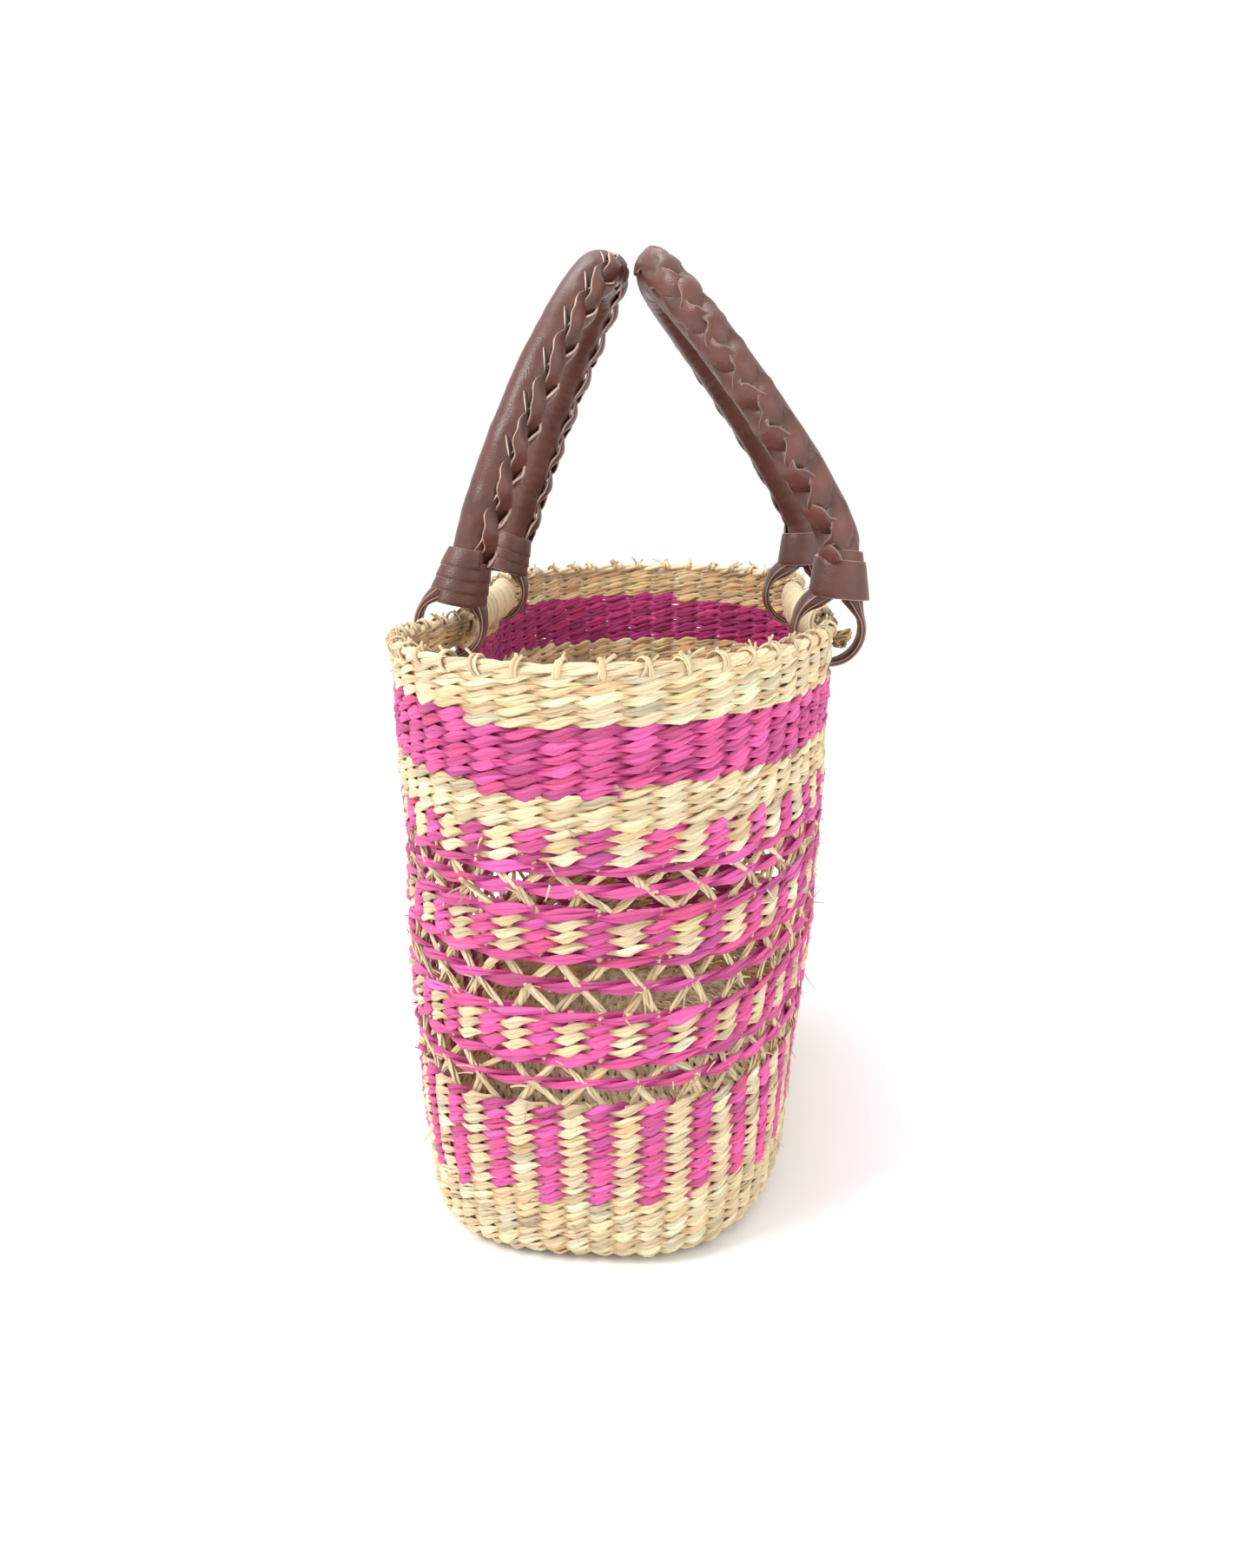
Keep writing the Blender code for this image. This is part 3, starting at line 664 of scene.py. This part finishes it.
def make_roll(grass, side, name):
    """Grass wound round the rim between the handle's feet."""
    low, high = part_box(name)
    roll = Weave()
    half_long = (high[0] - low[0]) / 2
    middle_z = (high[2] + low[2]) / 2
    half_high = (high[2] - low[2]) / 2
    edge = [turn_at_x(side, x, ROD_HEIGHT) for x in (half_long, -half_long)]
    turns_round, turn_steps = 25, 22
    steps = turns_round * turn_steps

    def wobble(size):
        return smooth_noise(turns_round + 1, turn_steps, size)[:steps]

    t = np.linspace(0, 1, steps)
    turn = edge[0] + (edge[1] - edge[0]) * t
    here, normal, rise = wall_frame(turn, np.full(steps, ROD_HEIGHT), MIDDLE, UPRIGHT)
    here[:, 2] = middle_z
    taper = np.clip(np.minimum(t, 1 - t) / 0.07, 0, 1) ** 0.5
    for k in range(2):
        angle = 2 * math.pi * (turns_round * t + k / 2)
        wide = 5.4 * MM * (0.55 + 0.45 * taper) + wobble(0.25 * MM)
        tall = (half_high - 1.3 * MM) * (0.75 + 0.25 * taper) + wobble(0.25 * MM)
        points = here + normal * (wide * np.cos(angle))[:, None] + rise * (tall * np.sin(angle))[:, None]
        outward = normal * np.cos(angle)[:, None] + rise * np.sin(angle)[:, None]
        width = 1.65 * MM * (1 + wobble(0.18))
        tones = STRAW * 0.97 * (1 + wobble(0.12))[:, None]
        add_fibre(roll, points, outward, width, 0.85 * MM, tones)
    core_count, core_steps = 14, 24
    ends = rng.uniform(-0.003, 0.003, (core_count, 2))
    for k in range(core_count):
        turn = np.linspace(edge[0] + ends[k, 0], edge[1] + ends[k, 1], core_steps)
        core, normal, rise = wall_frame(turn, np.full(core_steps, ROD_HEIGHT), MIDDLE, UPRIGHT)
        core[:, 2] = middle_z
        bearing = 2 * math.pi * k / core_count
        core = core + normal * 3.6 * MM * math.cos(bearing) + rise * 6.0 * MM * math.sin(bearing)
        add_fibre(roll, core, normal, 1.9 * MM, 1.5 * MM, natural_tint(STRAW * 0.85))
    for end in edge:
        for _ in range(12):
            place, normal, rise = (v[0] for v in rim_frame([end + rng.normal(0, 0.003)]))
            across = np.cross(rise, normal) * math.copysign(1, end)
            way = across * rng.normal(0, 0.7) + rise * rng.normal(0.1, 0.5) + normal * rng.normal(0, 0.7)
            way /= np.linalg.norm(way)
            t5 = np.linspace(0, 1, 5)[:, None]
            points = place + way * t5 * rng.uniform(3.5, 6.5) * MM
            tint = natural_tint(STRAW * 0.9)
            add_fibre(roll, points, np.tile(normal, (5, 1)), 0.8 * MM, 0.45 * MM, tint)
    roll.build(name + "_roll", grass, "basket", name)


def make_tuft(grass, side, name):
    """The stakes' cut ends, bunched outside the rim inside the strap's loop."""
    low, high = (np.array(corner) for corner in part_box(name))
    tuft = Weave()
    heart = (low + high) / 2
    root = heart.copy()
    root[1] = low[1] if side == BACK else high[1]
    for _ in range(34):
        start = root + rng.normal(0, 1, 3) * np.array([4.5, 0.3, 2.0]) * MM
        tip = heart + rng.uniform(-1, 1, 3) * (high - low) / 2 * np.array([1.0, 0.9, 0.95])
        tip[1] = root[1] + side * rng.uniform(4, 9) * MM
        sag = np.array([rng.normal(0, 2), side * rng.uniform(0, 2.5), rng.normal(0.5, 2)]) * MM
        t = np.linspace(0, 1, 7)[:, None]
        points = start + (tip - start) * t + sag * np.sin(math.pi * t)
        points = stay_inside_strap(points, side)
        width = rng.uniform(0.55, 1.0) * MM
        tint = natural_tint(STAKE * np.array([1.0, 0.9, 0.7]), 0.22) * (1 - 0.25 * t)
        normals = np.tile([0.0, side * 0.5, 1.0], (7, 1))
        add_fibre(tuft, points, normals, width, width * 0.6, tint)
    tuft.build(name + "_ends", grass, "basket", name)


def stay_inside_strap(points, side):
    """Draws points in towards the handle's axis where the strap would touch them."""
    origin, (axis, _, _) = handle_frame(side)
    offset = points - origin
    along = (offset @ axis)[:, None] * axis
    offset = offset - along
    reach = np.linalg.norm(offset, axis=1, keepdims=True)
    return origin + along + offset * np.minimum(1, TUFT_REACH / np.maximum(reach, 1e-9))


# ---------------------------------------------------------------- handles


def handle_frame(side):
    """A handle's pivot, its axis, and the directions up its feet and towards the other handle."""
    right, left = (outline(turn_at_x(side, x, FOOT_LEVEL), FOOT_LEVEL, MIDDLE) for x in (PIVOT_X, -PIVOT_X))
    origin = np.array([0.0, (right[1] + left[1]) / 2, PIVOT_Z])
    axis = (right - left) / np.linalg.norm(right - left)
    level = np.array([side * axis[1], -side * axis[0], 0.0])
    lean = LEAN[side]
    up = level * math.sin(lean) + UP * math.cos(lean)
    inward = level * math.cos(lean) - UP * math.sin(lean)
    return origin, np.stack([axis, up, inward])


class Arch:
    """A handle's centreline, with the directions away from the arch's middle and to the other handle."""

    def __init__(self, side):
        self.side = side
        self.origin, self.basis = handle_frame(side)
        fine = np.linspace(0, math.pi, 1441)
        height = ARCH_HEIGHT[side]
        x = PIVOT_X * np.sign(np.cos(fine)) * np.abs(np.cos(fine)) ** 0.75
        up = TUBE_START + (height - TUBE_START) * np.abs(np.sin(fine)) ** 0.8
        bend = np.clip((up - BEND_START) / (height - BEND_START), 0, 1) ** BEND_POWER[side]
        path = np.stack([x, up, FOOT_SHIFT[side] + BEND[side] * bend], axis=1)
        self.passed = np.concatenate(([0.0], np.cumsum(np.linalg.norm(np.diff(path, axis=0), axis=1))))
        self.path = path
        self.length = self.passed[-1]

    def world(self, local):
        """From (along X, up the feet, towards the other handle) to the basket's axes."""
        return self.origin + np.asarray(local) @ self.basis

    def turn_way(self, local):
        """The same for a direction."""
        return np.asarray(local) @ self.basis

    def frames(self, distance):
        """Point, face and out directions (local axes) at distances from the right foot."""

        def at(s):
            return np.stack([np.interp(s, self.passed, self.path[:, k]) for k in range(3)], axis=1)

        reach = 4 * MM
        point = at(distance)
        along = at(np.minimum(distance + reach, self.length)) - at(np.maximum(distance - reach, 0))
        along /= np.linalg.norm(along, axis=1, keepdims=True)
        face = np.array([0.0, 0.0, 1.0]) - along * along[:, 2:]
        face /= np.linalg.norm(face, axis=1, keepdims=True)
        return point, face, np.cross(along, face)

    def radius(self, distance):
        """The tube narrows into its collars."""
        foot = np.minimum(distance, self.length - distance)
        return FOOT_RADIUS + (COVER_RADIUS - FOOT_RADIUS) * np.clip((foot - 8 * MM) / (32 * MM), 0, 1)


STRIP = np.array(
    [(-0.96, 1), (-0.6, 1.15), (0, 1.2), (0.6, 1.15), (0.96, 1), (1, 0.75), (1, -0.75)]
    + [(0.96, -1), (0.6, -1), (0, -1), (-0.6, -1), (-0.96, -1), (-1, -0.75), (-1, 0.75)]
)
STRIP_EDGE = (5, 6, 12, 13)


def add_strip(weave, points, normals, half_width, half_thick, cup=0.0, tone=1.0, edge=CUT_EDGE):
    """A leather strip with pale cut edges; cup bows it across, as 1 / radius."""
    tangents = np.gradient(points, axis=0)
    tangents /= np.linalg.norm(tangents, axis=1, keepdims=True)
    across = np.cross(normals, tangents)
    across /= np.linalg.norm(across, axis=1, keepdims=True)
    normals = np.cross(tangents, across)
    half_width = np.broadcast_to(half_width, len(points))[:, None]
    cup = np.broadcast_to(cup, len(points))[:, None]
    u = STRIP[:, 0] * half_width
    n = STRIP[:, 1] * half_thick - cup * u**2 / 2
    sections = points[:, None] + across[:, None] * u[..., None] + normals[:, None] * n[..., None]
    tints = np.empty((len(points), len(STRIP), 3))
    tints[:] = (LEATHER * np.broadcast_to(tone, len(points))[:, None])[:, None]
    tints[:, STRIP_EDGE] = edge
    along = np.concatenate(([0.0], np.cumsum(np.linalg.norm(np.diff(points, axis=0), axis=1))))
    weave.add(sections[None], tints[None], along[None], closed=False)


def make_cover(arch, leather, name):
    """The leather tube, puckered where the plait is laced through its edges."""
    tube = Weave()
    steps, sides = 320, 48
    s = np.linspace(1 * MM, arch.length - 1 * MM, steps)
    point, face, out = arch.frames(s)
    angle = 2 * math.pi * np.arange(sides) / sides
    seam = (angle - SEAM_TURN[arch.side] + math.pi) % (2 * math.pi) - math.pi
    radius = np.repeat(arch.radius(s)[:, None], sides, axis=1)
    pucker = np.exp(-(((np.abs(seam) - 1.05) / 0.22) ** 2))
    lacing = np.cos(2 * math.pi * 3 * s / PLAIT_PERIOD)[:, None] * np.sign(seam)
    radius = radius + 0.45 * MM * pucker * lacing - 0.9 * MM * np.exp(-((seam / 0.6) ** 2))
    folds = smooth_noise(40, steps // 40, 0.16 * MM)[:, None] * np.cos(angle + 1.0)
    folds = folds + smooth_noise(80, steps // 80, 0.10 * MM)[:, None] * np.cos(2 * angle)
    wrinkle = np.sin(s[:, None] * 1100 + 2.2 * np.sin(angle * 2) + 3 * np.sin(s[:, None] * 90))
    inner = np.clip(-np.sin(angle), 0, 1) ** 2
    radius = radius + folds + 0.13 * MM * wrinkle * inner
    way = np.sin(angle)[None, :, None] * out[:, None] + np.cos(angle)[None, :, None] * face[:, None]
    sections = arch.world(point[:, None] + way * radius[..., None])
    # Colour follows the underside's wrinkles, darker in their troughs and lighter on their crests: painted
    # shade and painted highlight
    tones = np.ones((steps, sides, 3)) * LEATHER * (1 + 0.06 * wrinkle * inner)[..., None]
    tube.add(sections[None], tones[None], s[None], closed=False)
    if arch.side == FRONT:
        add_slits(tube, arch)
    tube.build(name + "_leather", leather, name, name + "_cover", name + "_core")


def add_slits(tube, arch):
    """Short diagonal cuts beside the plait, each a dark strip of painted shade with a pale lip."""
    for k in range(3, int(arch.length / (PLAIT_PERIOD / 3)) - 2):
        middle = (k + 0.35) * PLAIT_PERIOD / 3
        t = np.linspace(-1, 1, 9)
        s = middle + 4.2 * MM * t
        point, face, out = arch.frames(s)
        # First a dark strip standing for the shade inside the cut (painted shade), then the pale cut lip
        for shift, width, tint in ((0.0, 0.75, LEATHER * 0.2), (0.09, 0.42, CUT_EDGE * 1.25)):
            angle = SEAM_TURN[FRONT] + 0.86 + shift + 0.26 * t
            way = out * np.sin(angle)[:, None] + face * np.cos(angle)[:, None]
            points = arch.world(point + way * (arch.radius(s) + 0.30 * MM)[:, None])
            thin = width * MM * np.sqrt(np.clip(1 - t**2, 0.02, 1))
            add_fibre(tube, points, arch.turn_way(way), thin, 0.5 * thin + 0.1 * MM, tint)


def make_plait(arch, leather, name):
    """Three leather strips plaited over the seam."""
    plait = Weave()
    s = np.linspace(13 * MM, arch.length - 13 * MM, 300)
    point, face, out = arch.frames(s)
    side = arch.side
    sway, ride, half = (5.0, 2.0, 3.5) if side == FRONT else (5.6, 1.9, 5.2)
    for k in range(3):
        phase = 2 * math.pi * (s / PLAIT_PERIOD + k / 3)
        lateral = sway * MM * np.sin(phase) + 0.3 * MM * np.sin(5.3 * phase + k)
        depth = ride * MM * np.sin(2 * phase)
        radius = arch.radius(s) + 0.5 * MM
        angle = SEAM_TURN[side] + lateral / radius
        way = out * np.sin(angle)[:, None] + face * np.cos(angle)[:, None]
        points = arch.world(point + way * (radius + depth)[:, None])
        # Tone with a slow random part, plus darker where a strip dives under the others and lighter where it
        # rides over: painted shade and painted highlight
        tone = 1.02 + 0.14 * np.sin(phase * 0.5 + k) * np.cos(3 * phase) + 0.22 * np.sin(2 * phase)
        edge = CUT_EDGE if side == FRONT else CUT_EDGE * 0.45
        wide = half * (1 + 0.10 * np.sin(7 * phase + k)) * MM
        tilt = out * np.cos(angle)[:, None] - face * np.sin(angle)[:, None]
        normal = way + tilt * (0.42 * np.cos(phase))[:, None]
        add_strip(plait, points, arch.turn_way(normal), wide, 0.62 * MM, cup=85.0, tone=tone, edge=edge)
    plait.build(name + "_plait", leather, name, name + "_braid")


def make_collar(arch, leather, name, end, turns, width, pitch, flare):
    """A leather strip wound round the foot of the tube."""
    collar = Weave()
    steps = int(40 * turns)
    t = np.linspace(0, 1, steps)
    angle = end * (0.9 + 2 * math.pi * turns * t)
    high = TUBE_START + 20 * MM - width / 2 * MM
    up = high - (turns * pitch * MM) * t + 0.5 * MM * np.sin(angle + 1)
    radius = (9.4 + 2.0 * t) * MM + 0.15 * MM * np.sin(3 * angle)
    x = end * PIVOT_X + radius * np.sin(angle)
    local = np.stack([x, up, FOOT_SHIFT[arch.side] + radius * np.cos(angle) * 1.06], axis=1)
    way = np.stack([np.sin(angle), np.full(steps, flare), np.cos(angle)], axis=1)
    way /= np.linalg.norm(way, axis=1, keepdims=True)
    add_strip(collar, arch.world(local), arch.turn_way(way), width / 2 * MM, 0.75 * MM, tone=1.02)
    node = f"{name}_{'right' if end > 0 else 'left'}_collar"
    collar.build(node + "_wrap", leather, name, node)


def make_strap(arch, leather, name, end):
    """The strip that hangs from the collar, round the rim and through the wall."""
    shift = FOOT_SHIFT[arch.side]
    foot = TUBE_START + 1 * MM
    touches = []
    for inward in (shift + STRAP_LEG, shift - STRAP_LEG):
        bearing = math.atan2(inward, foot)
        tangent = math.acos(STRAP_RADIUS / math.hypot(inward, foot))
        touches.append(bearing + math.copysign(tangent, inward - shift))
    sweep = np.linspace(touches[0], touches[1] + 2 * math.pi, 60)
    ring = np.stack([STRAP_RADIUS * np.sin(sweep), STRAP_RADIUS * np.cos(sweep)], axis=1)
    rise = np.linspace(TUBE_START + 12 * MM, foot, 12)
    legs = [np.stack([np.full(12, shift + reach), rise], axis=1) for reach in (STRAP_LEG, -STRAP_LEG)]
    path = np.concatenate([legs[0], ring, legs[1][::-1]])
    passed = np.concatenate(([0.0], np.cumsum(np.linalg.norm(np.diff(path, axis=0), axis=1))))
    s = np.linspace(0, passed[-1], 120)
    inward, up = (np.interp(s, passed, path[:, k]) for k in range(2))
    near_tube = np.clip((up - 5 * MM) / (9 * MM), 0, 1) ** 1.2
    half = STRAP_HALF_WIDTH + 0.25 * MM * np.sin(s * 400)
    thick = STRAP_HALF_THICK + STRAP_FOLDED_EXTRA * near_tube
    along = np.gradient(np.stack([inward, up], axis=1), axis=0)
    along /= np.linalg.norm(along, axis=1, keepdims=True)
    flat = np.zeros(len(s))
    normals = arch.turn_way(np.stack([flat, along[:, 0], -along[:, 1]], axis=1))
    points = arch.world(np.stack([end * PIVOT_X + flat, up, inward], axis=1))
    strap = Weave()
    tone = LEATHER * (0.95 + 0.1 * np.sin(s * 230))[:, None]
    add_fibre(strap, points, normals, half, thick, tone, sides=16)
    axis = arch.basis[0]
    for hand in (-1, 1):
        for level in (-0.42, 0.3):
            rim = points + axis * (hand * (half * math.sqrt(1 - level**2) + 0.05 * MM))[:, None]
            rim = rim + normals * (thick * level)[:, None]
            add_fibre(strap, rim, normals, 0.32 * MM, 0.32 * MM, CUT_EDGE * 0.7)
    node = f"{name}_{'right' if end > 0 else 'left'}_strap"
    strap.build(node + "_loop", leather, name, node)


def make_handle(leather, side, name):
    arch = Arch(side)
    make_cover(arch, leather, name)
    make_plait(arch, leather, name)
    for end in (1, -1):
        make_collar(arch, leather, name, end, *COLLAR_WRAPS[side])
        make_strap(arch, leather, name, end)


# ---------------------------------------------------------------- materials


def node(tree, kind, **settings):
    made = tree.nodes.new(kind)
    for key, value in settings.items():
        setattr(made, key, value)
    return made


def new_material(name):
    """A material with a Principled BSDF, its node tree, and that shader."""
    material = bpy.data.materials.new(name)
    material.use_nodes = True
    return material, material.node_tree, material.node_tree.nodes["Principled BSDF"]


def noise(tree, vector, scale, detail):
    made = node(tree, "ShaderNodeTexNoise")
    made.inputs["Scale"].default_value = scale
    made.inputs["Detail"].default_value = detail
    tree.links.new(vector, made.inputs["Vector"])
    return made.outputs["Fac"]


def stretched(tree, vector, scales):
    made = node(tree, "ShaderNodeVectorMath", operation="MULTIPLY")
    made.inputs[1].default_value = scales
    tree.links.new(vector, made.inputs[0])
    return made.outputs[0]


def map_range(tree, value, source, target):
    """value, taken from the source range to the target range."""
    made = node(tree, "ShaderNodeMapRange")
    made.inputs["From Min"].default_value, made.inputs["From Max"].default_value = source
    made.inputs["To Min"].default_value, made.inputs["To Max"].default_value = target
    tree.links.new(value, made.inputs["Value"])
    return made.outputs[0]


def combine(tree, operation, first, second):
    made = node(tree, "ShaderNodeMath", operation=operation)
    tree.links.new(first, made.inputs[0])
    tree.links.new(second, made.inputs[1])
    return made.outputs[0]


def colour_from_tint(tree, shader, factor):
    """The mesh's own tint times factor, as the base colour."""
    tint = node(tree, "ShaderNodeAttribute", attribute_name="tint")
    colour = node(tree, "ShaderNodeVectorMath", operation="SCALE")
    tree.links.new(tint.outputs["Color"], colour.inputs[0])
    tree.links.new(factor, colour.inputs["Scale"])
    tree.links.new(colour.outputs[0], shader.inputs["Base Color"])


def add_bump(tree, shader, height, strength, distance):
    bump = node(tree, "ShaderNodeBump")
    bump.inputs["Strength"].default_value = strength
    bump.inputs["Distance"].default_value = distance
    tree.links.new(height, bump.inputs["Height"])
    tree.links.new(bump.outputs[0], shader.inputs["Normal"])


def grass_material(name):
    """Seagrass: fine fibres along each strand, and slower blotches."""
    material, tree, shader = new_material(name)
    strand = node(tree, "ShaderNodeAttribute", attribute_name="strand").outputs["Vector"]
    fibre = noise(tree, stretched(tree, strand, (70.0, 3600.0, 1.0)), 1.0, 3.0)
    blotch = noise(tree, stretched(tree, strand, (60.0, 300.0, 1.0)), 1.0, 2.0)
    tone = map_range(tree, fibre, (0.25, 0.75), (0.46, 1.22))
    patch = map_range(tree, blotch, (0.3, 0.7), (0.86, 1.08))
    colour_from_tint(tree, shader, combine(tree, "MULTIPLY", tone, patch))
    add_bump(tree, shader, fibre, 0.75, 0.6 * MM)
    shader.inputs["Roughness"].default_value = 0.55
    shader.inputs["Specular IOR Level"].default_value = 0.35
    return material


def leather_material(name):
    """Satin brown leather with a fine grain and small creases."""
    material, tree, shader = new_material(name)
    where = node(tree, "ShaderNodeTexCoord").outputs["Object"]
    cloud = noise(tree, where, 90.0, 4.0)
    colour_from_tint(tree, shader, map_range(tree, cloud, (0.3, 0.7), (0.8, 1.2)))
    grain = node(tree, "ShaderNodeTexVoronoi")
    grain.inputs["Scale"].default_value = 1400.0
    tree.links.new(where, grain.inputs["Vector"])
    crease = noise(tree, where, 350.0, 5.0)
    add_bump(tree, shader, combine(tree, "ADD", grain.outputs["Distance"], crease), 0.30, 0.3 * MM)
    tree.links.new(map_range(tree, cloud, (0.0, 1.0), (0.28, 0.44)), shader.inputs["Roughness"])
    shader.inputs["Specular IOR Level"].default_value = 0.5
    return material


# ---------------------------------------------------------------- stage


def make_stage():
    """A white room, a pale floor and three softboxes."""
    scene = bpy.context.scene
    scene.view_settings.view_transform = "Standard"
    world = bpy.data.worlds.new("studio")
    world.use_nodes = True
    background = world.node_tree.nodes["Background"]
    background.inputs["Color"].default_value = (1, 1, 1, 1)
    background.inputs["Strength"].default_value = 1.0
    scene.world = world
    mesh = bpy.data.meshes.new("floor")
    mesh.from_pydata([(-4, -4, 0), (4, -4, 0), (4, 4, 0), (-4, 4, 0)], [], [(0, 1, 2, 3)])
    floor = bpy.data.objects.new("floor", mesh)
    floor.location.z = -0.0005
    scene.collection.objects.link(floor)
    paint, _, shader = new_material("pale_floor")
    shader.inputs["Base Color"].default_value = (0.985, 0.985, 0.985, 1)
    shader.inputs["Roughness"].default_value = 0.6
    mesh.materials.append(paint)
    aim = Vector((0, 0, 0.15))
    for place, size, power in (
        ((1.2, -1.3, 1.7), 0.9, 34),
        ((1.0, 1.3, 1.0), 1.4, 8),
        ((-0.5, -0.5, 2.2), 1.2, 20),
    ):
        lamp = bpy.data.lights.new("softbox", "AREA")
        lamp.size = size
        lamp.energy = power
        box = bpy.data.objects.new("softbox", lamp)
        box.location = place
        box.rotation_euler = (aim - Vector(place)).to_track_quat("-Z", "Y").to_euler()
        scene.collection.objects.link(box)


def make_camera():
    data = bpy.data.cameras.new("camera")
    data.sensor_fit = "VERTICAL"
    data.sensor_height = SENSOR_HEIGHT
    data.lens = CAMERA_LENS
    camera = bpy.data.objects.new("camera", data)
    camera.location = CAMERA_PLACE
    level = math.cos(CAMERA_PITCH)
    look = (-level * math.cos(CAMERA_YAW), -level * math.sin(CAMERA_YAW), -math.sin(CAMERA_PITCH))
    camera.rotation_euler = Vector(look).to_track_quat("-Z", "Y").to_euler()
    bpy.context.scene.collection.objects.link(camera)
    bpy.context.scene.camera = camera


def main():
    grass = grass_material("seagrass")
    leather = leather_material("brown_leather_grain")
    make_body(grass)
    make_rim(grass)
    for front, side in (("front", FRONT), ("back", BACK)):
        make_roll(grass, side, f"{front}_rim_binding")
        for place in ("right", "left"):
            make_tuft(grass, side, f"{front}_{place}_tuft")
        make_handle(leather, side, f"{front}_handle")
    make_stage()
    make_camera()


main()
